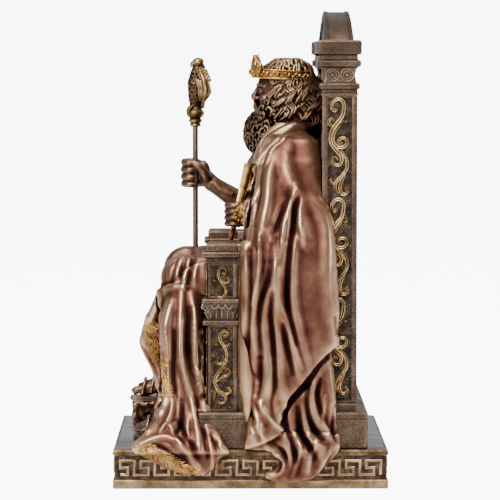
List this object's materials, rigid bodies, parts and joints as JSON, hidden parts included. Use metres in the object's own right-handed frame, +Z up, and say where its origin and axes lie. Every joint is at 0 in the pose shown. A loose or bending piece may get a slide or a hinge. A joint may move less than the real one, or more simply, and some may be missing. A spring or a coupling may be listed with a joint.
{
  "type": "zeus statue",
  "caption": "Small bronze-look statue of bearded Zeus, crowned and robed, seated on a tall-backed throne with eagle sceptre and thunderbolt, on a plinth with a meander band.",
  "frame": {"origin": "centre of the plinth's underside", "axes": "+Z up, the figure faces -Y, its left side is +X"},
  "size_m": [0.147, 0.1528, 0.265],
  "materials": {
    "plinth_bronze": "dark bronze coat with rubbed gilt bands, satin",
    "throne_bronze": "aged dark bronze coat, gritty satin with rubbed edges",
    "robe_bronze": "reddish copper coat with rubbed light ridges, semi-gloss",
    "sceptre_bronze": "brown bronze coat, satin",
    "bolt_gilt": "gilt coat, satin"
  },
  "bodies": {
    "root": {"plinth": "plinth_bronze", "throne": "throne_bronze", "zeus_figure": "robe_bronze", "sceptre": "sceptre_bronze", "thunderbolt": "bolt_gilt"}
  },
  "joints": []
}
